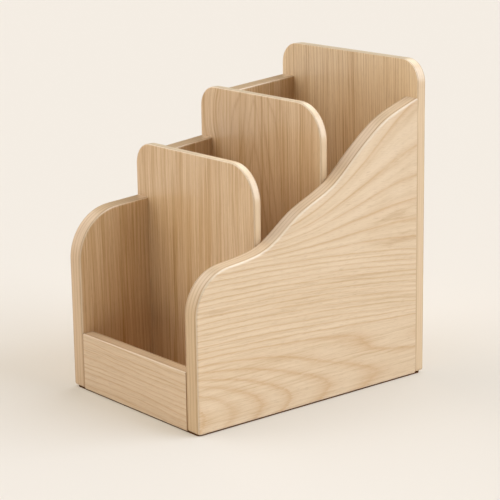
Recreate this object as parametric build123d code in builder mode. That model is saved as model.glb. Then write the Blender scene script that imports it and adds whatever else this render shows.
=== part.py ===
from build123d import *
import os

# Vertical file holder: two side panels, a taller back, a low front lip, a bottom and two dividers,
# on a thin felt liner that keeps the boards off the surface.
# Sizes are in millimetres. X runs across the front, Y from front to back and Z up.
# The origin is the centre of the footprint, on the surface that the holder stands on.

# Overall sizes
outer_width = 182.0
outer_depth = 261.0
back_height = 288.0
lip_height = 53.0

# Board thicknesses
side_thickness = 16.0
back_thickness = 10.0
lip_thickness = 12.0
bottom_thickness = 10.0
divider_thickness = 8.0

# Felt liner under the boards
liner_thickness = 1.2
liner_inset = 1.6
liner_corner_radius = 4.0

# Dividers: how far each front face stands behind the front of the holder, and its height
front_divider_depth = 76.0
rear_divider_depth = 151.0
front_divider_height = 215.0
rear_divider_height = 258.0
ear_radius = 20.0
divider_right_radius = 32.0

# Left panel: a rounded front corner and three treads, with a rounded step behind each divider
left_corner_radius = 45.0
left_step_radius = 14.0
left_turn = 86.0
left_front_start_height = 163.5
left_front_tread_height = 166.0
left_middle_start_height = 205.5
left_middle_tread_height = 211.0
left_rear_start_height = 250.5
left_rear_tread_height = 257.0

# Right panel: a rounded front corner and a wave through these heights
right_corner_radius = 39.0
right_turn = 81.0
right_corner_height = 140.0
right_front_divider_height = 148.0
right_middle_height = 172.5
right_rear_divider_height = 191.0
right_climb_height = 212.0
right_crest_height = 232.5
right_back_height = 255.0
right_end_slope = 0.34

# Rounded corners of the panels
side_foot_radius = 3.0
back_top_radius = 20.0
back_foot_radius = 4.0

# Eased edges
side_edge_radius = 1.8
back_edge_radius = 1.2
divider_edge_radius = 1.2
lip_edge_radius = 1.2
joint_ease = 0.4

# Grooves in the side panels, and the tongues of the dividers that sit in them
groove_depth = 5.0
groove_cover = 18.0
groove_side_clearance = 0.1
tongue_end_clearance = 0.2
tongue_top_clearance = 0.5
divider_side_clearance = 0.1

# Wooden dowels, all alike, and the bores that hold them
dowel_radius = 3.0
dowel_length = 30.0
dowel_chamfer = 0.6
bore_clearance = 0.05
bore_end_clearance = 0.5
dowel_in_side = 11.0
dowel_in_back = 6.0
lip_dowel_margin = 14.0
bottom_dowel_margin = 30.0
back_dowel_margin = 30.0
bottom_rear_dowel_margin = 35.0

# How closely a place is matched when edges are picked by where they lie
match = 0.01

# Places that follow from the sizes above
half_width = outer_width / 2
half_inside = half_width - side_thickness
side_depth = outer_depth - back_thickness
front_y = -outer_depth / 2
lip_rear_y = front_y + lip_thickness
side_rear_y = front_y + side_depth
bottom_top = liner_thickness + bottom_thickness
bottom_middle = liner_thickness + bottom_thickness / 2
front_divider_y = front_y + front_divider_depth
rear_divider_y = front_y + rear_divider_depth
bore_radius = dowel_radius + bore_clearance
groove_width = divider_thickness + 2 * groove_side_clearance
right_front_groove_top = right_front_divider_height - groove_cover
right_rear_groove_top = right_rear_divider_height - groove_cover

LEFT = -1
RIGHT = 1


def behind_front(depth, height):
    """Gives a point of a side panel's outline from its distance behind the front and its height."""
    return (front_y + depth, height)


def rounded_corner(foot, radius, turn, end_height):
    """Draws a straight edge up from a point and the arc that rounds it over to a given height."""
    rise = radius * Vector(1, 0).rotate(Axis.Z, turn).Y
    edge = Line(foot, (foot[0], end_height - rise))
    return JernArc(start=edge @ 1, tangent=edge % 1, radius=radius, arc_size=-turn)


def step_behind(divider_depth, tread_height, start_height):
    """Draws a divider's seat on the tread before it, the rise behind it and its rounded corner."""
    riser_depth = divider_depth + divider_thickness + groove_side_clearance
    seat = Line(behind_front(divider_depth, tread_height), behind_front(riser_depth, tread_height))
    return rounded_corner(tuple(seat @ 1)[:2], left_step_radius, left_turn, start_height)


def draw_rear_and_foot(rear_height):
    """Draws a side outline's rear edge down from a given height, and its foot."""
    Polyline(
        behind_front(side_depth, rear_height),
        behind_front(side_depth, liner_thickness),
        behind_front(0, liner_thickness),
    )


def left_outline():
    """Gives the edges of the left panel's closed outline."""
    with BuildLine() as outline:
        front_corner = rounded_corner(
            behind_front(0, liner_thickness),
            left_corner_radius,
            left_turn,
            left_front_start_height,
        )
        Line(front_corner @ 1, behind_front(front_divider_depth, left_front_tread_height))
        middle_corner = step_behind(
            front_divider_depth, left_front_tread_height, left_middle_start_height
        )
        Line(middle_corner @ 1, behind_front(rear_divider_depth, left_middle_tread_height))
        rear_corner = step_behind(
            rear_divider_depth, left_middle_tread_height, left_rear_start_height
        )
        Line(rear_corner @ 1, behind_front(side_depth, left_rear_tread_height))
        draw_rear_and_foot(left_rear_tread_height)
    return outline.edges()


def right_outline():
    """Gives the edges of the right panel's closed outline."""
    rear_run = side_depth - rear_divider_depth
    with BuildLine() as outline:
        corner = rounded_corner(
            behind_front(0, liner_thickness), right_corner_radius, right_turn, right_corner_height
        )
        Spline(
            corner @ 1,
            behind_front(front_divider_depth, right_front_divider_height),
            behind_front((front_divider_depth + rear_divider_depth) / 2, right_middle_height),
            behind_front(rear_divider_depth, right_rear_divider_height),
            behind_front(rear_divider_depth + rear_run / 4, right_climb_height),
            behind_front(rear_divider_depth + rear_run / 2, right_crest_height),
            behind_front(side_depth, right_back_height),
            tangents=[corner % 1, (1, right_end_slope)],
        )
        draw_rear_and_foot(right_back_height)
    return outline.edges()


def round_foot():
    """Rounds the front bottom corner of the side outline that was just drawn."""
    corner = vertices().sort_by(Axis.X)[:2].sort_by(Axis.Y)[0]
    fillet(corner, side_foot_radius)


def ease_side_edges():
    """Rounds a side panel's long edges all the way round but for its rear ones, which stay square."""
    faces_out = faces().filter_by(Axis.X).sort_by(Axis.X)
    shown = faces_out[0].edges() + faces_out[-1].edges()
    rear = shown.filter_by(lambda edge: edge.bounding_box().min.Y > side_rear_y - match)
    fillet(shown - rear, side_edge_radius)


def drill(places, out_of, depth):
    """Drills a dowel bore of a given depth at each place, in the face that looks out that way."""
    with Locations(*[Plane(origin=place, z_dir=out_of) for place in places]):
        Hole(radius=bore_radius, depth=depth + bore_end_clearance)


def add_dowels(places, into, sunk):
    """Sets a dowel through each place, sunk that far into the piece that lies that way."""
    with Locations(*[Plane(origin=place, z_dir=into).offset(sunk) for place in places]):
        Cylinder(dowel_radius, dowel_length, align=(Align.CENTER, Align.CENTER, Align.MAX))


def lip_dowel_places(side):
    """Lists where dowels cross from the lip into one side panel."""
    heights = (lip_dowel_margin, lip_height - lip_dowel_margin)
    return [(side * half_inside, (front_y + lip_rear_y) / 2, height) for height in heights]


def bottom_dowel_places(side):
    """Lists where dowels cross from the bottom into one side panel."""
    ys = (
        lip_rear_y + bottom_dowel_margin,
        (lip_rear_y + side_rear_y) / 2,
        side_rear_y - bottom_dowel_margin,
    )
    return [(side * half_inside, y, bottom_middle) for y in ys]


def back_dowel_places(side):
    """Lists where dowels cross from the back into the rear edge of one side panel."""
    top = right_back_height - back_dowel_margin
    heights = (back_dowel_margin, (back_dowel_margin + top) / 2, top)
    return [(side * (half_width + half_inside) / 2, side_rear_y, height) for height in heights]


def bottom_rear_dowel_places():
    """Lists where dowels cross from the back into the rear edge of the bottom."""
    across = half_inside - bottom_rear_dowel_margin
    return [(x, side_rear_y, bottom_middle) for x in (-across, across)]


def cut_groove(side, divider_y, top):
    """Cuts the groove for a divider's tongue into the inner face of one side panel."""
    with Locations((side * half_inside, divider_y - groove_side_clearance, bottom_top)):
        Box(
            2 * groove_depth,
            groove_width,
            top - bottom_top,
            align=(Align.CENTER, Align.MIN, Align.MIN),
            mode=Mode.SUBTRACT,
        )


def drill_side(side):
    """Drills one side panel's bores for the lip, the bottom and the back."""
    inward = (-side, 0, 0)
    drill(lip_dowel_places(side) + bottom_dowel_places(side), inward, dowel_in_side)
    drill(back_dowel_places(side), (0, 1, 0), dowel_length - dowel_in_back)


def divider_outline(tread_height, groove_top, height):
    """Gives the edges of a divider's outline, with its ear at the left and a tongue each side."""
    tongue_x = half_inside + groove_depth - tongue_end_clearance
    right_x = half_inside - divider_side_clearance
    shoulder = groove_top - tongue_top_clearance
    with BuildLine() as outline:
        Polyline(
            (-tongue_x, bottom_top),
            (tongue_x, bottom_top),
            (tongue_x, shoulder),
            (right_x, shoulder),
            (right_x, height),
            (-half_width, height),
            (-half_width, tread_height),
            (-tongue_x, tread_height),
            close=True,
        )
    return outline.edges()


def round_divider_corners():
    """Rounds the two top corners of the divider outline that was just drawn."""
    fillet(vertices().group_by(Axis.Y)[-1].sort_by(Axis.X)[0], ear_radius)
    fillet(vertices().group_by(Axis.Y)[-1].sort_by(Axis.X)[-1], divider_right_radius)


def ease_divider_edges(tread_height):
    """Rounds the edges of a divider that show above the side panels."""
    long_edges = edges().filter_by(lambda edge: edge.bounding_box().size.Y < match)
    shown = long_edges.filter_by(lambda edge: edge.bounding_box().max.Z > tread_height + match)
    fillet(shown, divider_edge_radius)


os.makedirs("parts", exist_ok=True)

# Left side panel
with BuildPart() as left_side_panel:
    with BuildSketch(Plane.YZ.offset(-half_width)):
        make_face(left_outline())
        round_foot()
    extrude(amount=side_thickness)
    ease_side_edges()
    cut_groove(LEFT, front_divider_y, left_front_tread_height)
    cut_groove(LEFT, rear_divider_y, left_middle_tread_height)
    drill_side(LEFT)
left_side_panel.part.label = "left_side_panel"
export_step(left_side_panel.part, "parts/left_side_panel.step")

# Right side panel
with BuildPart() as right_side_panel:
    with BuildSketch(Plane.YZ.offset(half_inside)):
        make_face(right_outline())
        round_foot()
    extrude(amount=side_thickness)
    ease_side_edges()
    cut_groove(RIGHT, front_divider_y, right_front_groove_top)
    cut_groove(RIGHT, rear_divider_y, right_rear_groove_top)
    drill_side(RIGHT)
right_side_panel.part.label = "right_side_panel"
export_step(right_side_panel.part, "parts/right_side_panel.step")

# Back panel, over the full width behind the side panels
with BuildPart() as back_panel:
    with BuildSketch(Plane.XZ.offset(-side_rear_y)):
        with Locations((0, liner_thickness)):
            Rectangle(
                outer_width, back_height - liner_thickness, align=(Align.CENTER, Align.MIN)
            )
        fillet(vertices().group_by(Axis.Y)[-1], back_top_radius)
        fillet(vertices().group_by(Axis.Y)[0], back_foot_radius)
    extrude(amount=-back_thickness)
    fillet(faces().sort_by(Axis.Y)[-1].edges(), back_edge_radius)
    fillet(faces().sort_by(Axis.Y)[0].edges(), joint_ease)
    drill(back_dowel_places(LEFT) + back_dowel_places(RIGHT), (0, -1, 0), dowel_in_back)
    drill(bottom_rear_dowel_places(), (0, -1, 0), dowel_in_back)
back_panel.part.label = "back_panel"
export_step(back_panel.part, "parts/back_panel.step")

# Front lip, between the side panels
with BuildPart() as front_lip:
    with BuildSketch(Plane.XY.offset(liner_thickness)):
        with Locations((0, front_y)):
            Rectangle(2 * half_inside, lip_thickness, align=(Align.CENTER, Align.MIN))
    extrude(amount=lip_height - liner_thickness)
    long_edges = edges().filter_by(Axis.X)
    front_foot_edge = long_edges.group_by(Axis.Z)[0].sort_by(Axis.Y)[0]
    fillet([*long_edges.group_by(Axis.Z)[-1], front_foot_edge], lip_edge_radius)
    chamfer(edges().filter_by(Axis.Z).group_by(Axis.Y)[0], joint_ease)
    for side in (LEFT, RIGHT):
        drill(lip_dowel_places(side), (side, 0, 0), dowel_length - dowel_in_side)
front_lip.part.label = "front_lip"
export_step(front_lip.part, "parts/front_lip.step")

# Bottom panel, between the side panels, behind the lip and in front of the back
with BuildPart() as bottom_panel:
    with BuildSketch(Plane.XY.offset(liner_thickness)):
        with Locations((0, lip_rear_y)):
            Rectangle(2 * half_inside, side_rear_y - lip_rear_y, align=(Align.CENTER, Align.MIN))
    extrude(amount=bottom_thickness)
    for side in (LEFT, RIGHT):
        drill(bottom_dowel_places(side), (side, 0, 0), dowel_length - dowel_in_side)
    drill(bottom_rear_dowel_places(), (0, 1, 0), dowel_length - dowel_in_back)
bottom_panel.part.label = "bottom_panel"
export_step(bottom_panel.part, "parts/bottom_panel.step")

# Felt liner, a little inside the boards that stand on it
with BuildPart() as base_liner:
    with BuildSketch(Plane.XY):
        RectangleRounded(
            outer_width - 2 * liner_inset, outer_depth - 2 * liner_inset, liner_corner_radius
        )
    extrude(amount=liner_thickness)
base_liner.part.label = "base_liner"
export_step(base_liner.part, "parts/base_liner.step")

# Front divider
with BuildPart() as front_divider:
    with BuildSketch(Plane.XZ.offset(-front_divider_y)):
        make_face(
            divider_outline(left_front_tread_height, right_front_groove_top, front_divider_height)
        )
        round_divider_corners()
    extrude(amount=-divider_thickness)
    ease_divider_edges(left_front_tread_height)
front_divider.part.label = "front_divider"
export_step(front_divider.part, "parts/front_divider.step")

# Rear divider
with BuildPart() as rear_divider:
    with BuildSketch(Plane.XZ.offset(-rear_divider_y)):
        make_face(
            divider_outline(left_middle_tread_height, right_rear_groove_top, rear_divider_height)
        )
        round_divider_corners()
    extrude(amount=-divider_thickness)
    ease_divider_edges(left_middle_tread_height)
rear_divider.part.label = "rear_divider"
export_step(rear_divider.part, "parts/rear_divider.step")

# Dowels between the lip and the side panels
with BuildPart() as lip_dowels:
    for side in (LEFT, RIGHT):
        add_dowels(lip_dowel_places(side), (side, 0, 0), dowel_in_side)
    chamfer(edges().filter_by(GeomType.CIRCLE), dowel_chamfer)
lip_dowels.part.label = "lip_dowels"
export_step(lip_dowels.part, "parts/lip_dowels.step")

# Dowels between the bottom and the side panels
with BuildPart() as bottom_dowels:
    for side in (LEFT, RIGHT):
        add_dowels(bottom_dowel_places(side), (side, 0, 0), dowel_in_side)
    chamfer(edges().filter_by(GeomType.CIRCLE), dowel_chamfer)
bottom_dowels.part.label = "bottom_dowels"
export_step(bottom_dowels.part, "parts/bottom_dowels.step")

# Dowels between the back and the pieces in front of it
with BuildPart() as back_dowels:
    for side in (LEFT, RIGHT):
        add_dowels(back_dowel_places(side), (0, 1, 0), dowel_in_back)
    add_dowels(bottom_rear_dowel_places(), (0, 1, 0), dowel_in_back)
    chamfer(edges().filter_by(GeomType.CIRCLE), dowel_chamfer)
back_dowels.part.label = "back_dowels"
export_step(back_dowels.part, "parts/back_dowels.step")
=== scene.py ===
"""Dresses the vertical file holder: pale oak boards, glue lines, a floor, soft light, a camera."""

from __future__ import annotations

import logging
import math
from dataclasses import dataclass, field, replace
from enum import Enum
from typing import Any, Union

import bpy
from mathutils import Euler, Matrix, Vector


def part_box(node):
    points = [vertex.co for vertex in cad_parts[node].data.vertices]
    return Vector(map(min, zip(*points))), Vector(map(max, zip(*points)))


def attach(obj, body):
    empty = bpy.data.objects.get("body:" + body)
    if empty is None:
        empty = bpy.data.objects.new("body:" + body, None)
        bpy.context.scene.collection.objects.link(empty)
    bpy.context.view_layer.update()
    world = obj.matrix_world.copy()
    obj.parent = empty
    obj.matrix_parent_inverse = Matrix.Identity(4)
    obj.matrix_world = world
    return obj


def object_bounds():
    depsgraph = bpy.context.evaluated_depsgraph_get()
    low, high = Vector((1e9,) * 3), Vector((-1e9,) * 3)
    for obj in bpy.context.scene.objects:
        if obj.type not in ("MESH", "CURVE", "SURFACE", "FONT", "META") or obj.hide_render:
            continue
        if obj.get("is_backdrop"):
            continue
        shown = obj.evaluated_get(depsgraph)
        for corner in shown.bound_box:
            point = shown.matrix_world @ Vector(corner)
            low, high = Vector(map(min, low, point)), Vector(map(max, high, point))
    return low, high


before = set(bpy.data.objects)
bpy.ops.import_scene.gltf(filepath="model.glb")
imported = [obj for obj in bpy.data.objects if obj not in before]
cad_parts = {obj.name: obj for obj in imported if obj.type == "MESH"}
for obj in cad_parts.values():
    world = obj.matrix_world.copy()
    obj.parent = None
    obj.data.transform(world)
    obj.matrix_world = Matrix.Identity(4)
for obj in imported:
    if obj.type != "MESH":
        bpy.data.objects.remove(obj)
CAD_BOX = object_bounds()

LOG = logging.getLogger("file_holder")
MILLIMETRES = 1000.0
FRAME_PIXELS = 500

Colour = tuple[float, float, float]
Point = tuple[float, float, float]
Window = tuple[float, float]


def linear(red: int, green: int, blue: int) -> Colour:
    """Turns an 8-bit display colour into the linear values that sockets take.

    Args:
        red: red level from 0 to 255.
        green: green level from 0 to 255.
        blue: blue level from 0 to 255.

    Returns:
        The three linear levels.
    """

    def one(level: int) -> float:
        """Undoes the display curve for one level."""
        share = level / 255
        return share / 12.92 if share <= 0.04045 else ((share + 0.055) / 1.055) ** 2.4

    return one(red), one(green), one(blue)


class Signal:
    """A shader value that can be used in Python expressions."""

    def __init__(self, graph: "Graph", socket: bpy.types.NodeSocket) -> None:
        """Keeps the socket and the graph that new nodes go into."""
        self.graph = graph
        self.socket = socket

    def maths(self, operation: str, *others: "Value") -> "Signal":
        """Adds one Math node that works on this value.

        Args:
            operation: the Math node's operation.
            others: the values for its other inputs.

        Returns:
            The node's result.
        """
        return self.graph.maths(operation, self, *others)

    def __add__(self, other: "Value") -> "Signal":
        """Adds."""
        return self.maths("ADD", other)

    __radd__ = __add__

    def __sub__(self, other: "Value") -> "Signal":
        """Subtracts."""
        return self.maths("SUBTRACT", other)

    def __rsub__(self, other: "Value") -> "Signal":
        """Subtracts this value from another."""
        return self.graph.maths("SUBTRACT", other, self)

    def __mul__(self, other: "Value") -> "Signal":
        """Multiplies."""
        return self.maths("MULTIPLY", other)

    __rmul__ = __mul__

    def __truediv__(self, other: "Value") -> "Signal":
        """Divides."""
        return self.maths("DIVIDE", other)

    def __rtruediv__(self, other: "Value") -> "Signal":
        """Divides another value by this one."""
        return self.graph.maths("DIVIDE", other, self)

    def __pow__(self, other: "Value") -> "Signal":
        """Raises to a power."""
        return self.maths("POWER", other)

    def __abs__(self) -> "Signal":
        """Drops the sign."""
        return self.maths("ABSOLUTE")

    def least(self, other: "Value") -> "Signal":
        """Keeps the smaller of two values."""
        return self.maths("MINIMUM", other)

    def most(self, other: "Value") -> "Signal":
        """Keeps the larger of two values."""
        return self.maths("MAXIMUM", other)

    def swing(self, half: float) -> "Signal":
        """Turns noise from 0 to 1 into a swing of so much to either side."""
        return (self - 0.5) * (2 * half)


Value = Union[Signal, int, float]


@dataclass(frozen=True)
class Mottle:
    """A noise that can be drawn out, from 0 to 1.

    It has so many blotches to a unit along x, y and z, and finer layers as detail and roughness say.
    With a window it is 0 below the first level, 1 above the second, and fades in between them.
    """

    x: float
    y: float
    z: float = 0.0
    detail: float = 1.0
    roughness: float = 0.5
    seed: float = 0.0
    window: Window | None = None


class Tree:
    """Adds nodes to any kind of node tree."""

    prefix = "ShaderNode"

    def __init__(self, nodes: bpy.types.NodeTree) -> None:
        """Keeps the tree that nodes go into."""
        self.tree = nodes

    def node(
        self,
        kind: str,
        settings: dict[str, Any] | None = None,
        inputs: dict[Any, Any] | None = None,
    ) -> bpy.types.Node:
        """Adds a node.

        Args:
            kind: the node's type, without its prefix.
            settings: the node's own properties, set before its sockets.
            inputs: values or links, by socket name or number.

        Returns:
            The new node.
        """
        made = self.tree.nodes.new(f"{self.prefix}{kind}")
        for key, setting in (settings or {}).items():
            setattr(made, key, setting)
        for key, value in (inputs or {}).items():
            socket = made.inputs[key]
            if isinstance(value, Signal):
                self.tree.links.new(value.socket, socket)
            elif isinstance(value, bpy.types.NodeSocket):
                self.tree.links.new(value, socket)
            else:
                socket.default_value = value
        return made


class GeometryTree(Tree):
    """Adds nodes to a Geometry Nodes tree."""

    prefix = "GeometryNode"


class Graph(Tree):
    """Builds one material's node tree."""

    def __init__(self, name: str) -> None:
        """Starts a material with an empty tree."""
        self.material = bpy.data.materials.new(name)
        self.material.use_nodes = True
        super().__init__(self.material.node_tree)
        self.tree.nodes.clear()

    def signal(self, made: bpy.types.Node, output: int | str = 0) -> Signal:
        """Wraps one output of a node."""
        return Signal(self, made.outputs[output])

    def maths(self, operation: str, *values: Value) -> Signal:
        """Adds a Math node on any mix of values and numbers."""
        made = self.node("Math", {"operation": operation}, dict(enumerate(values)))
        return self.signal(made)

    def mottle(
        self, kind: Mottle, seed: float, x: Signal, y: Signal, z: Signal | None = None
    ) -> Signal:
        """Gives smooth noise from 0 to 1 at a place.

        Args:
            kind: how fine the noise is, and how it fades in.
            seed: the board's own seed, added to the noise's.
            x: the place along the noise's first axis.
            y: the place along its second axis.
            z: the place along its third axis, where it varies along one.

        Returns:
            The noise value.
        """
        depth: Value = seed + kind.seed
        if z is not None:
            depth = z * kind.z + depth
        place = self.place(x * kind.x, y * kind.y, depth)
        sockets = {
            "Vector": place,
            "Scale": 1.0,
            "Detail": kind.detail,
            "Roughness": kind.roughness,
        }
        value = self.signal(self.node("TexNoise", None, sockets), "Fac")
        return self.smooth(value, *kind.window) if kind.window else value

    def place(self, x: Value, y: Value, z: Value) -> Signal:
        """Joins three values into a vector."""
        return self.signal(self.node("CombineXYZ", None, {0: x, 1: y, 2: z}))

    def blend(self, share: Value, first: Any, second: Any) -> Signal:
        """Mixes two colours.

        Args:
            share: 0 for the first colour and 1 for the second.
            first: a colour or a colour signal.
            second: a colour or a colour signal.

        Returns:
            The mixed colour.
        """
        sockets = {0: share, 6: rgba(first), 7: rgba(second)}
        made = self.node("Mix", {"data_type": "RGBA", "clamp_factor": True}, sockets)
        return self.signal(made, 2)

    def smooth(self, value: Value, low: float, high: float) -> Signal:
        """Turns a value into a share that rises smoothly.

        Args:
            value: what is measured.
            low: the value at which the share is 0.
            high: the value at which the share is 1.

        Returns:
            The share, from 0 to 1.
        """
        made = self.node(
            "MapRange",
            {"interpolation_type": "SMOOTHSTEP"},
            {"Value": value, "From Min": low, "From Max": high},
        )
        return self.signal(made)


def rgba(colour: Any) -> Any:
    """Adds full opacity to a plain colour and passes a signal on."""
    return colour if isinstance(colour, Signal) else (*colour, 1.0)


class Lie(Enum):
    """How a board's grain lies: the axes along it, across it and through the board."""

    DEPTHWISE = ("Y", "Z", "X")
    UPRIGHT_SIDE = ("Z", "Y", "X")
    UPRIGHT_CROSS = ("Z", "X", "Y")
    WIDTHWISE = ("X", "Z", "Y")
    FLOORWISE = ("X", "Y", "Z")

    @property
    def along(self) -> str:
        """The axis that the fibres run along."""
        return self.value[0]

    @property
    def through(self) -> str:
        """The axis that the board is thin along."""
        return self.value[2]


@dataclass(frozen=True)
class Fan:
    """Lines that spread apart beyond one height, as beside a branch, in millimetres.

    Beyond start they stand narrowest times as far apart at narrow_at along the board, and widest
    times at wide_at. Bow is the further height over which they spread as much again.
    """

    start: float
    narrow_at: float
    wide_at: float
    narrowest: float = 0.8
    widest: float = 2.7
    bow: float = 150.0


@dataclass(frozen=True)
class Bend:
    """A place where the fibres turn aside round a branch, in millimetres.

    Within the radius the fibres are pushed across the board, most of all at the place itself.
    """

    along: float
    across: float
    radius: float
    push: float


@dataclass(frozen=True)
class Figure:
    """The growth rings that a sawn face shows, in millimetres.

    The rings are cones about a pith line behind the face, so the face shows arches near that line
    and straight lines far from it. The cones taper from the pivot, and curl bends them. Rings are
    inner_ring apart out to the knee, where there is one, and ring apart beyond it. From far_from to
    far_to the lines lose their taper, down to taper_far of it, and far_slope and far_curl make them
    fall along the board. A fan spreads them and each bend turns them aside. Sway, wander and jag are
    the slow, mild and quick waves of the fibres, feather is how far the fibres carry a ring's edge
    along the grain, uneven is how much the rings differ in width, and phase shifts them all.
    """

    centre: float
    pith_depth: float
    taper: float
    ring: float
    curl: float = 0.0
    pivot: float = 0.0
    inner_ring: float = 0.0
    knee: float = 0.0
    knee_before: float = 4.0
    knee_after: float = 10.0
    taper_far: float = 1.0
    far_slope: float = 0.0
    far_curl: float = 0.0
    far_from: float = 40.0
    far_to: float = 90.0
    fan: Fan | None = None
    bends: tuple[Bend, ...] = ()
    sway: float = 5.0
    wander: float = 1.6
    jag: float = 0.5
    feather: float = 9.0
    uneven: float = 1.6
    phase: float = 0.0
    seed: float = 0.0


@dataclass(frozen=True)
class Fibres:
    """The noises that every board shares, with their places in millimetres."""

    slow: Mottle = Mottle(x=0.007, y=0.018)
    mild: Mottle = Mottle(x=0.03, y=0.06, seed=5)
    quick: Mottle = Mottle(x=0.14, y=0.2, detail=2.0, seed=8)
    feather: Mottle = Mottle(x=0.02, y=1.3, detail=3.0, roughness=0.7, seed=12)
    ring_width: Mottle = Mottle(x=0.11, y=0.002, seed=3)
    ring_depth: Mottle = Mottle(x=0.73, y=0.012, seed=9, window=(0.1, 0.52))
    broken: Mottle = Mottle(x=0.06, y=1.1, detail=2.0, seed=2, window=(0.12, 0.5))
    band: Mottle = Mottle(
        x=0.006, y=0.085, detail=2.0, roughness=0.6, seed=17, window=(0.42, 0.66)
    )
    pore: Mottle = Mottle(x=0.12, y=1.9, z=1.5, window=(0.56, 0.72))
    rim: Mottle = Mottle(x=0.03, y=0.03, detail=2.0, seed=4, window=(0.25, 0.55))
    ply_wave: Mottle = Mottle(x=0.015, y=0.015, detail=2.0)
    ply_fade: Mottle = Mottle(x=0.02, y=0.02, z=1.0, window=(0.25, 0.6))
    hair: Mottle = Mottle(x=0.03, y=0.03, z=1.8, detail=3.0, roughness=0.6, window=(0.48, 0.66))


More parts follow.
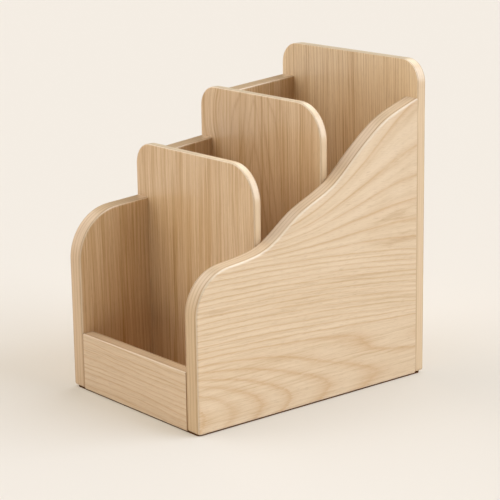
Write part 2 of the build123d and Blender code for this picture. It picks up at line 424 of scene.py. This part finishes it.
@dataclass(frozen=True)
class WoodFinish:
    """Pale oak with a matt clear coat, on a board whose edges show its layers.

    A ring darkens slowly up to its line, which trail and trail_power set, and the higher its
    crispness, the thinner the line. The weakest ring keeps a share of faintest. On the edges, ply is
    a layer's thickness, and the rim is a darker line rim_depth inside each corner. The rounded
    corners carry a painted highlight, paler than the faces. Sizes are in millimetres, apart from
    groove_depth in metres.
    """

    name: str
    lie: Lie
    figure: Figure
    noises: Fibres = Fibres()
    middle: float = 0.0
    half: float = 8.0
    ply: float = 4.0
    pale: Colour = linear(233, 209, 179)
    honey: Colour = linear(221, 194, 159)
    ring_colour: Colour = linear(199, 153, 98)
    deep_colour: Colour = linear(172, 124, 74)
    pore_colour: Colour = linear(168, 126, 80)
    edge_pale: Colour = linear(228, 203, 171)
    end_pale: Colour = linear(219, 190, 149)
    ply_line: Colour = linear(160, 116, 72)
    # Painted highlight colour, laid on the rounded corners.
    painted_highlight_colour: Colour = linear(253, 241, 222)
    ring_strength: float = 0.58
    crispness: float = 11.0
    inner_crispness: float = 4.5
    sharp_share: float = 0.75
    trail: float = 0.34
    trail_power: float = 3.0
    faintest: float = 0.4
    streak: Mottle = Mottle(x=0.014, y=0.5, z=0.4, detail=3.0, roughness=0.7)
    streak_strength: float = 0.25
    tone_window: Window = (0.36, 0.64)
    dark_window: Window = (0.52, 0.68)
    dark_in_bands: float = 0.7
    pore_strength: float = 0.22
    band_share: float = 0.35
    ply_strength: float = 0.32
    ply_sway: float = 0.25
    ply_rise: float = 5.0
    ply_fall: float = 12.0
    hair_share: float = 0.45
    rim_strength: float = 0.75
    rim_depth: float = 2.0
    rim_width: float = 0.7
    edge_window: Window = (0.5, 0.8)
    end_window: Window = (0.6, 0.95)
    corner_facing: float = 0.7
    corner_window: Window = (0.05, 0.3)
    painted_highlight_strength: float = 0.45
    roughness: float = 0.44
    roughness_swing: float = 0.16
    coat: float = 0.8
    coat_roughness: float = 0.24
    relief: float = 0.25
    groove_depth: float = 0.0002
    ring_groove: float = 0.2
    pore_groove: float = 0.5
    streak_groove: float = 0.3

    def axes(self, graph: Graph) -> tuple[Signal, Signal, Signal]:
        """Gives the place in millimetres, by the board's own axes.

        Args:
            graph: the material's tree.

        Returns:
            The place along the grain, across it and through the board.
        """
        coordinates = graph.signal(graph.node("TexCoord"), "Object")
        split = graph.node("SeparateXYZ", None, {0: coordinates})
        along, across, through = (graph.signal(split, axis) * MILLIMETRES for axis in self.lie.value)
        return along, across, through

    def lift(self, graph: Graph, along: Signal, across: Signal) -> Signal:
        """Gives the height above the pith line, bent as the fibres bend.

        Args:
            graph: the material's tree.
            along: the place along the grain.
            across: the place across the grain.

        Returns:
            The bent height, in millimetres.
        """
        form = self.figure
        slow = graph.mottle(self.noises.slow, form.seed, along, across)
        mild = graph.mottle(self.noises.mild, form.seed, along, across)
        quick = graph.mottle(self.noises.quick, form.seed, along, across)
        shift = slow.swing(form.sway) + mild.swing(form.wander)
        lift = across - form.centre + shift + quick.swing(form.jag)
        for bend in form.bends:
            off = ((along - bend.along) ** 2.0 + (across - bend.across) ** 2.0) / bend.radius**2
            lift = lift + graph.smooth(off, 1.0, 0.0) * bend.push
        run = along - form.pivot
        fall = run * (run * form.far_curl + form.far_slope)
        lift = lift + graph.smooth(lift, form.far_from, form.far_to) * fall
        if form.fan:
            over = (lift - (form.fan.start - form.centre)).most(0.0)
            opening = graph.smooth(along, form.fan.narrow_at, form.fan.wide_at)
            spread = opening * (form.fan.widest - form.fan.narrowest) + form.fan.narrowest
            lift = lift - over + over / (spread * (over / form.fan.bow + 1.0))
        return lift

    def feathered(self, graph: Graph, along: Signal, lift: Signal) -> Signal:
        """Gives the place along the grain, carried to and fro from one fibre to the next."""
        fibre = graph.mottle(self.noises.feather, self.figure.seed, along, lift)
        return along + fibre.swing(self.figure.feather)

    def reach(self, graph: Graph, along: Signal, lift: Signal) -> Signal:
        """Gives how far a place on the face lies from the pith, with the cones' taper taken in.

        Args:
            graph: the material's tree.
            along: the place along the grain.
            lift: the bent height above the pith line.

        Returns:
            The distance in millimetres, which is the same all along a ring.
        """
        form = self.figure
        far = graph.smooth(abs(lift), form.far_from, form.far_to)
        easing = 1.0 - far * (1.0 - form.taper_far)
        run = along - form.pivot
        radius = graph.maths("SQRT", lift * lift + form.pith_depth**2)
        return radius + run * (run * form.curl + form.taper) * easing

    def rings(self, graph: Graph, along: Signal, reach: Signal) -> Signal:
        """Draws the growth rings.

        Args:
            graph: the material's tree.
            along: the place along the grain, feathered.
            reach: the distance from the pith.

        Returns:
            0 between the rings and 1 at the darkest line.
        """
        form = self.figure
        steps = reach / form.ring
        if form.inner_ring:
            inner = reach.least(form.knee) / form.inner_ring
            steps = inner + (reach - form.knee).most(0.0) / form.ring
        uneven = graph.mottle(self.noises.ring_width, form.seed, reach, along)
        steps = steps + uneven * form.uneven + form.phase
        share = steps.maths("FRACT")
        outer = graph.smooth(reach, form.knee - form.knee_before, form.knee + form.knee_after)
        power = outer * (self.crispness - self.inner_crispness) + self.inner_crispness
        sharp = share.most(1.0 - share) ** power
        line = (share**self.trail_power * self.trail + sharp * self.sharp_share).least(1.0)
        number = steps.maths("FLOOR")
        depth = graph.mottle(self.noises.ring_depth, form.seed, number, along)
        strong = depth * (1.0 - self.faintest) + self.faintest
        return line * strong * graph.mottle(self.noises.broken, form.seed, along, reach)

    def facing(self, graph: Graph, axis: str) -> Signal:
        """Tells how squarely a face looks along an axis, either way, from 0 to 1."""
        normal = graph.signal(graph.node("NewGeometry"), "Normal")
        return abs(graph.signal(graph.node("SeparateXYZ", None, {0: normal}), axis))

    def edge_mask(self, graph: Graph) -> Signal:
        """Tells the sawn edges, 1, from the broad faces, 0."""
        return 1.0 - graph.smooth(self.facing(graph, self.lie.through), *self.edge_window)

    def end_mask(self, graph: Graph) -> Signal:
        """Tells the edges that cut the fibres across, 1, from all else, 0."""
        return graph.smooth(self.facing(graph, self.lie.along), *self.end_window)

    def painted_highlight_mask(self, graph: Graph) -> Signal:
        """Tells the round between a broad face and an edge, where a highlight is painted, 1, from all
        else, 0.
        """
        off = abs(self.facing(graph, self.lie.through) - self.corner_facing)
        return 1.0 - graph.smooth(off, *self.corner_window)

    def rim(self, graph: Graph, along: Signal, across: Signal, through: Signal) -> Signal:
        """Draws the thin glue line just inside each corner of a board's edge."""
        off = abs(abs(through - self.middle) - (self.half - self.rim_depth)) / self.rim_width
        fade = graph.mottle(self.noises.rim, self.figure.seed, along, across)
        return (1.0 - off).most(0.0) * fade

    def plies(self, graph: Graph, along: Signal, across: Signal, through: Signal) -> Signal:
        """Draws the fine layer lines that follow a board's edges.

        Args:
            graph: the material's tree.
            along: the place along the grain.
            across: the place across the grain.
            through: the place through the board.

        Returns:
            0 between the lines and 1 at the darkest.
        """
        seed = self.figure.seed
        wave = graph.mottle(self.noises.ply_wave, seed, along, across)
        layer = (through - self.middle) / self.ply + wave.swing(self.ply_sway) + 0.5
        share = layer.maths("FRACT")
        line = (share**self.ply_rise).most((1.0 - share) ** self.ply_fall)
        fade = graph.mottle(self.noises.ply_fade, seed, along, across, layer.maths("FLOOR"))
        hair = graph.mottle(self.noises.hair, seed, along, across, through)
        return line * fade + hair * self.hair_share

    def material(self) -> bpy.types.Material:
        """Builds the wood material.

        Returns:
            The finished material.
        """
        graph = Graph(self.name)
        along, across, through = self.axes(graph)
        lift = self.lift(graph, along, across)
        carried = self.feathered(graph, along, lift)
        rings = self.rings(graph, carried, self.reach(graph, carried, lift))
        seed = self.figure.seed
        streaks = graph.mottle(self.streak, seed, along, lift, through)
        bands = graph.mottle(self.noises.band, seed, along, lift)
        pores = graph.mottle(self.noises.pore, seed, along, across, through)
        plies = self.plies(graph, along, across, through)
        rim = self.rim(graph, along, across, through)

        fine = graph.smooth(streaks, *self.tone_window) * (1.0 - self.band_share)
        tone = fine + bands * self.band_share
        face = graph.blend(tone, self.pale, self.honey)
        face = graph.blend(rings * self.ring_strength, face, self.ring_colour)
        banded = bands * self.dark_in_bands + (1.0 - self.dark_in_bands)
        dark = graph.smooth(streaks, *self.dark_window) * banded * self.streak_strength
        face = graph.blend(dark, face, self.deep_colour)
        face = graph.blend(pores * self.pore_strength, face, self.pore_colour)
        sawn = graph.blend(self.end_mask(graph), self.edge_pale, self.end_pale)
        sawn = graph.blend(plies * self.ply_strength, sawn, self.ply_line)
        sawn = graph.blend(rim * self.rim_strength, sawn, self.ply_line)
        colour = graph.blend(self.edge_mask(graph), face, sawn)
        # Painted highlight: the rounds between faces and edges are drawn paler, standing in for light
        # catching them.
        colour = graph.blend(self.painted_highlight_mask(graph) * self.painted_highlight_strength, colour, self.painted_highlight_colour)

        grooves = 1.0 - rings * self.ring_groove - pores * self.pore_groove
        grooves = grooves - streaks * self.streak_groove
        relief = {"Strength": self.relief, "Distance": self.groove_depth, "Height": grooves}
        bump = graph.node("Bump", None, relief)
        smoothest = self.roughness - self.roughness_swing / 2
        sockets = {
            "Base Color": colour,
            "Roughness": streaks * self.roughness_swing + smoothest,
            "Normal": graph.signal(bump),
            "Coat Weight": self.coat,
            "Coat Roughness": self.coat_roughness,
        }
        shader = graph.node("BsdfPrincipled", None, sockets)
        graph.node("OutputMaterial", None, {"Surface": graph.signal(shader)})
        return graph.material


@dataclass(frozen=True)
class UprightFinish(WoodFinish):
    """The same oak on the upright boards: deeper honey, with stronger streaks. The deeper honey is
    partly board tone and partly painted shade for the boards inside the holder.
    """

    # Deeper honey: partly board tone, partly painted shade for the inner boards.
    pale: Colour = linear(236, 207, 169)
    honey: Colour = linear(210, 172, 122)
    ring_colour: Colour = linear(184, 133, 77)
    edge_pale: Colour = linear(227, 199, 163)
    end_pale: Colour = linear(226, 197, 160)
    ring_strength: float = 0.5
    crispness: float = 13.0
    inner_crispness: float = 7.0
    trail: float = 0.25
    faintest: float = 0.08
    streak: Mottle = Mottle(x=0.006, y=0.62, z=0.4, detail=3.0, roughness=0.7)
    streak_strength: float = 0.5
    band_share: float = 0.5
    rim_strength: float = 0.6
    rim_depth: float = 1.1


@dataclass(frozen=True)
class ShadeLinerFinish:
    """A dark brown liner with short matted fibres; its dark colour is painted shade, which draws the
    contact shadow line along the foot.
    """

    name: str = "contact_shade_liner"
    deep: Colour = linear(72, 38, 10)
    worn: Colour = linear(112, 68, 26)
    roughness: float = 0.95
    shine: float = 0.1
    fibre_scale: float = 900.0
    fibre_detail: float = 3.0
    fibre_share: float = 0.6
    blotch_scale: float = 60.0
    worn_window: Window = (0.35, 0.7)
    relief: float = 0.6
    nap_depth: float = 0.0003

    def material(self) -> bpy.types.Material:
        """Builds the liner's material, painted dark as shade, with matted fibres in its colour and
        relief.

        Returns:
            The finished material.
        """
        graph = Graph(self.name)
        coordinates = graph.signal(graph.node("TexCoord"), "Object")
        fibre_sockets = {
            "Vector": coordinates,
            "Scale": self.fibre_scale,
            "Detail": self.fibre_detail,
        }
        fibres = graph.signal(graph.node("TexNoise", None, fibre_sockets), "Fac")
        blotch_sockets = {"Vector": coordinates, "Scale": self.blotch_scale}
        blotch = graph.signal(graph.node("TexNoise", None, blotch_sockets), "Fac")
        mixed = fibres * self.fibre_share + blotch * (1.0 - self.fibre_share)
        share = graph.smooth(mixed, *self.worn_window)
        relief = {"Strength": self.relief, "Distance": self.nap_depth, "Height": fibres}
        bump = graph.node("Bump", None, relief)
        sockets = {
            "Base Color": graph.blend(share, self.deep, self.worn),
            "Roughness": self.roughness,
            "Normal": graph.signal(bump),
            "Specular IOR Level": self.shine,
        }
        shader = graph.node("BsdfPrincipled", None, sockets)
        graph.node("OutputMaterial", None, {"Surface": graph.signal(shader)})
        return graph.material


@dataclass(frozen=True)
class GlueFinish:
    """Set wood glue in a joint: a thin brown line."""

    name: str = "glue_line"
    pale: Colour = linear(186, 144, 96)
    dark: Colour = linear(142, 102, 62)
    roughness: float = 0.6
    blotch_scale: float = 90.0

    def material(self) -> bpy.types.Material:
        """Builds the glue's material, which darkens and pales along the joint.

        Returns:
            The finished material.
        """
        graph = Graph(self.name)
        coordinates = graph.signal(graph.node("TexCoord"), "Object")
        blotch_sockets = {"Vector": coordinates, "Scale": self.blotch_scale}
        blotch = graph.node("TexNoise", None, blotch_sockets)
        colour = graph.blend(graph.signal(blotch, "Fac"), self.pale, self.dark)
        sockets = {"Base Color": colour, "Roughness": self.roughness}
        shader = graph.node("BsdfPrincipled", None, sockets)
        graph.node("OutputMaterial", None, {"Surface": graph.signal(shader)})
        return graph.material


def dress(node: str, material: bpy.types.Material) -> None:
    """Gives a carried-over piece its material.

    Args:
        node: the piece's name in the frame.
        material: what it gets in every slot.
    """
    piece = bpy.data.objects[node]
    if not piece.material_slots:
        piece.data.materials.append(material)
    for held in piece.material_slots:
        held.material = material
    LOG.info("dressed %s in %s", node, material.name)


def corners(node: str) -> tuple[Vector, Vector]:
    """Gives a piece's lowest and highest corners in millimetres."""
    low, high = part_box(node)
    return Vector(low) * MILLIMETRES, Vector(high) * MILLIMETRES


def thickness_of(node: str, lie: Lie) -> dict[str, float]:
    """Gives a board's middle and half thickness in millimetres, as a finish takes them.

    Args:
        node: the board's name in the frame.
        lie: how its grain lies, which tells the axis that it is thin along.

    Returns:
        The finish's middle and half fields.
    """
    low, high = corners(node)
    axis = "XYZ".index(lie.through)
    return {"middle": (low[axis] + high[axis]) / 2, "half": (high[axis] - low[axis]) / 2}


@dataclass
class SidePanels:
    """The stepped left panel and the wavy right panel."""

    left_figure: Figure = Figure(
        centre=-185, pith_depth=30, taper=0.035, ring=3.4, sway=2.0, wander=0.5, jag=0.2, seed=3.1
    )
    right_figure: Figure = Figure(
        centre=13,
        pith_depth=32,
        taper=0.208,
        curl=-0.00038,
        ring=4.6,
        pivot=-80,
        inner_ring=6.5,
        knee=62,
        taper_far=0.0,
        far_slope=0.03,
        far_curl=0.00025,
        far_from=18,
        far_to=62,
        fan=Fan(start=136, narrow_at=-60, wide_at=150),
        sway=1.2,
        wander=0.7,
        jag=0.3,
        feather=9.0,
        uneven=0.5,
        phase=0.27,
        seed=11.4,
    )
    left_edge: Colour = linear(223, 193, 156)
    side_ply: float = 4.0
    left_plies: float = 0.42
    left_rim: float = 0.6
    right_plies: float = 0.44

    def build(self) -> None:
        """Dresses both panels."""
        left = UprightFinish(
            name="oak_left_side",
            lie=Lie.UPRIGHT_SIDE,
            figure=self.left_figure,
            **thickness_of("left_side_panel", Lie.UPRIGHT_SIDE),
            ply=self.side_ply,
            edge_pale=self.left_edge,
            ply_strength=self.left_plies,
            rim_strength=self.left_rim,
        )
        right = WoodFinish(
            name="oak_right_side",
            lie=Lie.DEPTHWISE,
            figure=self.right_figure,
            **thickness_of("right_side_panel", Lie.DEPTHWISE),
            ply=self.side_ply,
            ply_strength=self.right_plies,
        )
        dress("left_side_panel", left.material())
        dress("right_side_panel", right.material())


@dataclass
class Uprights:
    """The back panel and the two dividers, whose grain stands upright."""

    figures: dict[str, Figure] = field(
        default_factory=lambda: {
            "back_panel": Figure(
                centre=-150,
                pith_depth=25,
                taper=0.03,
                ring=3.3,
                sway=3.0,
                wander=0.5,
                jag=0.2,
                uneven=1.8,
                seed=21.7,
            ),
            "front_divider": Figure(
                centre=-190,
                pith_depth=30,
                taper=0.03,
                ring=3.4,
                sway=3.5,
                wander=0.6,
                jag=0.2,
                uneven=4.0,
                seed=33.2,
            ),
            "rear_divider": Figure(
                centre=-14,
                pith_depth=10,
                taper=0.1,
                ring=3.5,
                inner_ring=6.0,
                knee=34,
                taper_far=0.2,
                far_from=10,
                far_to=45,
                bends=(Bend(along=234, across=-82, radius=30, push=4.0),),
                sway=2.0,
                wander=0.5,
                jag=0.2,
                uneven=2.4,
                phase=0.5,
                seed=47.9,
            ),
        }
    )
    ply: float = 3.0
    top_pale: Colour = linear(252, 230, 197)
    top_plies: float = 0.2
    top_rim: float = 0.6
    # The back's colours are paler as painted light on its shaded front face.
    painted_light_back_pale: Colour = linear(248, 224, 188)
    painted_light_back_honey: Colour = linear(233, 203, 160)
    painted_light_back_ring: Colour = linear(200, 156, 102)
    back_crispness: float = 7.0
    back_faintest: float = 0.35

    def build(self) -> None:
        """Dresses each upright board. The back is painted paler than the dividers, as painted light on
        its shaded front.
        """
        for node, figure in self.figures.items():
            finish = UprightFinish(
                name=f"oak_{node}",
                lie=Lie.UPRIGHT_CROSS,
                figure=figure,
                **thickness_of(node, Lie.UPRIGHT_CROSS),
                ply=self.ply,
                end_pale=self.top_pale,
                ply_strength=self.top_plies,
                rim_strength=self.top_rim,
            )
            # Painted light: the back's paler colours make up for the shade that falls on its front
            # face.
            if node == "back_panel":
                finish = replace(
                    finish,
                    pale=self.painted_light_back_pale,
                    honey=self.painted_light_back_honey,
                    ring_colour=self.painted_light_back_ring,
                    crispness=self.back_crispness,
                    faintest=self.back_faintest,
                )
            dress(node, finish.material())


@dataclass
class Tray:
    """The front lip, the bottom panel and the dark liner under them, whose colour is painted shade
    along the foot.
    """

    lip_figure: Figure = Figure(
        centre=-60, pith_depth=30, taper=0.02, ring=5.0, sway=4.5, wander=1.2, seed=58.3
    )
    bottom_figure: Figure = Figure(centre=10, pith_depth=25, taper=0.05, ring=5.0, seed=63.8)
    ply: float = 3.0
    lip_rings: float = 0.62
    painted_shade_bottom_pale: Colour = linear(208, 170, 118)
    painted_shade_bottom_honey: Colour = linear(182, 138, 84)

    def build(self) -> None:
        """Dresses the lip, the bottom and the liner. The bottom is painted deeper than the other
        boards, as shade for the compartments' floors.
        """
        lip = WoodFinish(
            name="oak_front_lip",
            lie=Lie.WIDTHWISE,
            figure=self.lip_figure,
            **thickness_of("front_lip", Lie.WIDTHWISE),
            ply=self.ply,
            ring_strength=self.lip_rings,
        )
        # The bottom's deeper colours are painted shade, which also darkens the light it throws into
        # the compartments.
        bottom = UprightFinish(
            name="oak_bottom_panel",
            lie=Lie.FLOORWISE,
            figure=self.bottom_figure,
            **thickness_of("bottom_panel", Lie.FLOORWISE),
            ply=self.ply,
            pale=self.painted_shade_bottom_pale,
            honey=self.painted_shade_bottom_honey,
        )
        dress("front_lip", lip.material())
        dress("bottom_panel", bottom.material())
        # The liner's dark colour is painted shade: it draws the contact shadow line under the base.
        dress("base_liner", ShadeLinerFinish().material())


@dataclass
class Joinery:
    """The hidden dowels and the glue lines that show along the joints, in millimetres.

    The beads stand inset from a board's edge and stop base_gap short of its ends. How high a side
    panel stands beside a divider is probed from above, probe_inset within the panel.
    """

    dowel_nodes: tuple[str, ...] = ("lip_dowels", "bottom_dowels", "back_dowels")
    dowel_figure: Figure = Figure(
        centre=0, pith_depth=12, taper=0.02, ring=2.2, sway=1.0, wander=0.4, seed=71.5
    )
    dowel_ply: float = 2.0
    bead_radius: float = 0.38
    bead_sides: int = 8
    inset: float = 0.4
    base_gap: float = 1.5
    probe_inset: float = 2.0
    probe_height: float = 1000.0

    def runs(self) -> list[list[Point]]:
        """Finds where the glue shows: round the lip, down the back and beside the dividers.

        Returns:
            The glue lines' paths in millimetres, each a list of points.
        """
        left_low, left_high = corners("left_side_panel")
        right_low, right_high = corners("right_side_panel")
        lip_low, lip_high = corners("front_lip")
        back_low, _ = corners("back_panel")
        inner = (left_high.x, right_low.x)
        runs: list[list[Point]] = []
        foot = lip_low.z + self.base_gap
        for x in inner:
            front, rear, top = lip_low.y + self.inset, lip_high.y, lip_high.z - self.inset
            runs.append([(x, front, foot), (x, front, top), (x, rear, top)])
        outer = ((left_low.x + self.inset, left_high.z), (right_high.x - self.inset, right_high.z))
        for x, top in outer:
            joint = back_low.y
            runs.append([(x, joint, foot), (x, joint, top - self.base_gap)])
        for node in ("front_divider", "rear_divider"):
            low, high = corners(node)
            for x in inner:
                for y in (low.y, high.y):
                    runs.append([(x, y, low.z + self.base_gap), (x, y, self.side_top(x, y))])
        return runs

    def side_top(self, x: float, y: float) -> float:
        """Gives how high the side panel's inner face stands beside a divider, in millimetres.

        Args:
            x: which inner face, by its place across the holder.
            y: the place along the panel.

        Returns:
            The height of the face's top edge there, less a little.
        """
        node = "left_side_panel" if x < 0 else "right_side_panel"
        panel = bpy.data.objects[node]
        inside = x + math.copysign(self.probe_inset, x)
        origin = Vector((inside, y, self.probe_height)) / MILLIMETRES
        hit, place, _, _ = panel.ray_cast(origin, Vector((0.0, 0.0, -1.0)))
        return place.z * MILLIMETRES - self.base_gap if hit else 0.0

    def bead_tree(self) -> tuple[bpy.types.NodeTree, dict[str, str]]:
        """Builds the Geometry Nodes tree that lays a round bead along every path.

        Returns:
            The tree, and the identifier of each named input.
        """
        nodes = bpy.data.node_groups.new("glue_bead", "GeometryNodeTree")
        sockets = {
            "Geometry": "NodeSocketGeometry",
            "Bead Radius": "NodeSocketFloat",
            "Bead Sides": "NodeSocketInt",
            "Glue": "NodeSocketMaterial",
        }
        names = {
            name: nodes.interface.new_socket(name, in_out="INPUT", socket_type=kind).identifier
            for name, kind in sockets.items()
        }
        nodes.interface.new_socket("Geometry", in_out="OUTPUT", socket_type="NodeSocketGeometry")
        tree = GeometryTree(nodes)
        given = nodes.nodes.new("NodeGroupInput")
        paths = tree.node("MeshToCurve", None, {"Mesh": given.outputs["Geometry"]})
        ring = tree.node(
            "CurvePrimitiveCircle",
            {"mode": "RADIUS"},
            {"Resolution": given.outputs["Bead Sides"], "Radius": given.outputs["Bead Radius"]},
        )
        bead = tree.node(
            "CurveToMesh",
            None,
            {"Curve": paths.outputs[0], "Profile Curve": ring.outputs[0], "Fill Caps": True},
        )
        plain = tree.node("RealizeInstances", None, {0: bead.outputs[0]})
        dressed = tree.node(
            "SetMaterial",
            None,
            {"Geometry": plain.outputs[0], "Material": given.outputs["Glue"]},
        )
        result = nodes.nodes.new("NodeGroupOutput")
        nodes.links.new(dressed.outputs[0], result.inputs[0])
        return nodes, names

    def lay_glue(self) -> None:
        """Lays the glue lines along their paths, as one piece."""
        points: list[Vector] = []
        edges: list[tuple[int, int]] = []
        for run in self.runs():
            first = len(points)
            points += [Vector(point) / MILLIMETRES for point in run]
            edges += [(first + step, first + step + 1) for step in range(len(run) - 1)]
        mesh = bpy.data.meshes.new("glue_lines")
        mesh.from_pydata(points, edges, [])
        piece = bpy.data.objects.new("glue_lines", mesh)
        bpy.context.scene.collection.objects.link(piece)

        tree, names = self.bead_tree()
        bead = piece.modifiers.new("bead", "NODES")
        bead.node_group = tree
        bead[names["Bead Radius"]] = self.bead_radius / MILLIMETRES
        bead[names["Bead Sides"]] = self.bead_sides
        bead[names["Glue"]] = GlueFinish().material()
        found = piece.evaluated_get(bpy.context.evaluated_depsgraph_get())
        piece.data = bpy.data.meshes.new_from_object(found)
        piece.modifiers.clear()
        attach(piece, "root")
        LOG.info("glue lines have %d faces", len(piece.data.polygons))

    def build(self) -> None:
        """Dresses the three groups of dowels and lays the glue lines."""
        for node in self.dowel_nodes:
            lie = Lie.UPRIGHT_CROSS if node == "back_dowels" else Lie.WIDTHWISE
            finish = WoodFinish(
                name=f"beech_{node}", lie=lie, figure=self.dowel_figure, ply=self.dowel_ply
            )
            dress(node, finish.material())
        self.lay_glue()


@dataclass(frozen=True)
class FloorFinish:
    """A pale warm floor that keeps the holder's soft shadow."""

    seen: Colour = linear(224, 220, 220)
    glow: Colour = linear(252, 238, 200)
    lit: Colour = linear(222, 209, 190)
    glow_share: float = 0.22

    def material(self) -> bpy.types.Material:
        """Builds the floor material: paint for the room's light, and its own colour to the eye.

        Returns:
            The finished material.
        """
        graph = Graph("studio_floor")
        path = graph.node("LightPath")
        seen = (
            graph.signal(path, "Is Camera Ray")
            .most(graph.signal(path, "Is Glossy Ray"))
            .most(graph.signal(path, "Is Transmission Ray"))
        )
        paint = graph.node("BsdfDiffuse", None, {"Color": rgba(self.lit)})
        shown = graph.node("BsdfDiffuse", None, {"Color": rgba(self.seen)})
        glow = graph.node("Emission", None, {"Color": rgba(self.glow), "Strength": 1.0})
        mixed = graph.node(
            "MixShader", None, {0: self.glow_share, 1: graph.signal(shown), 2: graph.signal(glow)}
        )
        chosen = graph.node(
            "MixShader", None, {0: seen, 1: graph.signal(paint), 2: graph.signal(mixed)}
        )
        graph.node("OutputMaterial", None, {"Surface": graph.signal(chosen)})
        return graph.material


@dataclass(frozen=True)
class SoftLamp:
    """A distant lamp with a broad disc, so that its shadows are soft. Angles are in degrees."""

    name: str
    azimuth: float
    elevation: float
    strength: float
    spread: float
    colour: Colour = (1.0, 1.0, 1.0)

    def build(self) -> None:
        """Adds the lamp, which shines from its azimuth, counted from +X towards +Y."""
        data = bpy.data.lights.new(self.name, "SUN")
        data.energy = self.strength
        data.angle = math.radians(self.spread)
        data.color = self.colour
        lamp = bpy.data.objects.new(self.name, data)
        turn = Euler((0.0, math.radians(90 - self.elevation), math.radians(self.azimuth)), "XYZ")
        lamp.rotation_euler = turn
        bpy.context.scene.collection.objects.link(lamp)


@dataclass
class Studio:
    """The floor, the lamps and the even light of the room."""

    floor_half: float = 30.0
    lamps: tuple[SoftLamp, ...] = (
        SoftLamp("key", azimuth=41, elevation=27, strength=2.45, spread=56, colour=(0.91, 0.98, 1.05)),
        SoftLamp(
            "corner", azimuth=-147, elevation=24, strength=1.66, spread=80, colour=(1.0, 0.95, 0.9)
        ),
        SoftLamp(
            "front", azimuth=-108, elevation=40, strength=0.6, spread=80, colour=(1.0, 0.94, 0.84)
        ),
        SoftLamp("rim", azimuth=100, elevation=50, strength=0.93, spread=60, colour=(1.0, 0.96, 0.9)),
        SoftLamp("top", azimuth=0, elevation=85, strength=0.85, spread=70, colour=(1.0, 0.97, 0.92)),
    )
    room: Colour = (1.0, 0.93, 0.82)
    room_strength: float = 0.03

    def build(self) -> None:
        """Lays the floor, hangs the lamps and sets the room's light."""
        mesh = bpy.data.meshes.new("floor")
        half = self.floor_half
        outline = [(-half, -half, 0.0), (half, -half, 0.0), (half, half, 0.0), (-half, half, 0.0)]
        mesh.from_pydata(outline, [], [(0, 1, 2, 3)])
        floor = bpy.data.objects.new("floor", mesh)
        bpy.context.scene.collection.objects.link(floor)
        mesh.materials.append(FloorFinish().material())
        floor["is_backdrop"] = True
        for lamp in self.lamps:
            lamp.build()
        world = bpy.data.worlds.new("room")
        world.use_nodes = True
        background = world.node_tree.nodes["Background"]
        background.inputs["Color"].default_value = rgba(self.room)
        background.inputs["Strength"].default_value = self.room_strength
        bpy.context.scene.world = world
        bpy.context.scene.view_settings.view_transform = "Standard"
        LOG.info("studio has %d lamps", len(self.lamps))


@dataclass
class Viewpoint:
    """The camera, in front of the holder, to its right and above it.

    Its place is in metres and its angles in degrees. The focal length and the middle, which is the
    point straight ahead of it, are in pixels of the picture. The sensor is in millimetres.
    """

    place: Point = (1.2170, -0.9968, 0.5218)
    turn: float = 51.06
    look_down: float = 14.43
    roll: float = -0.964
    focal_pixels: float = 1814.4
    middle_x: float = 236.5
    middle_y: float = 254.7
    sensor: float = 36.0
    far_clip: float = 200.0

    def build(self) -> None:
        """Adds the camera and makes it the scene's own."""
        data = bpy.data.cameras.new("camera")
        data.sensor_width = self.sensor
        data.lens = self.focal_pixels * self.sensor / FRAME_PIXELS
        data.shift_x = (FRAME_PIXELS / 2 - self.middle_x) / FRAME_PIXELS
        data.shift_y = (self.middle_y - FRAME_PIXELS / 2) / FRAME_PIXELS
        data.clip_end = self.far_clip
        camera = bpy.data.objects.new("camera", data)
        heading = Matrix.Rotation(math.radians(self.turn), 4, "Z")
        pitch = Matrix.Rotation(math.radians(90 - self.look_down), 4, "X")
        roll = Matrix.Rotation(math.radians(self.roll), 4, "Z")
        camera.matrix_world = Matrix.Translation(Vector(self.place)) @ heading @ pitch @ roll
        bpy.context.scene.collection.objects.link(camera)
        bpy.context.scene.camera = camera


def write_sizes() -> None:
    """Gathers the CAD box and the dressed model's box as lists of numbers, and does nothing more with
    them.
    """

    def plain(box: Any) -> list[list[float]]:
        """Turns a box's corners into lists."""
        return [[float(number) for number in corner] for corner in box]

    {"cad": plain(CAD_BOX), "visual": plain(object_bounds())}


def main() -> None:
    """Builds the scene, one sub-assembly at a time."""
    logging.basicConfig(level=logging.INFO, format="%(name)s: %(message)s")
    for part in (SidePanels(), Uprights(), Tray(), Joinery(), Studio(), Viewpoint()):
        part.build()
        LOG.info("built %s", type(part).__name__)
    write_sizes()


if __name__ == "__main__":
    main()
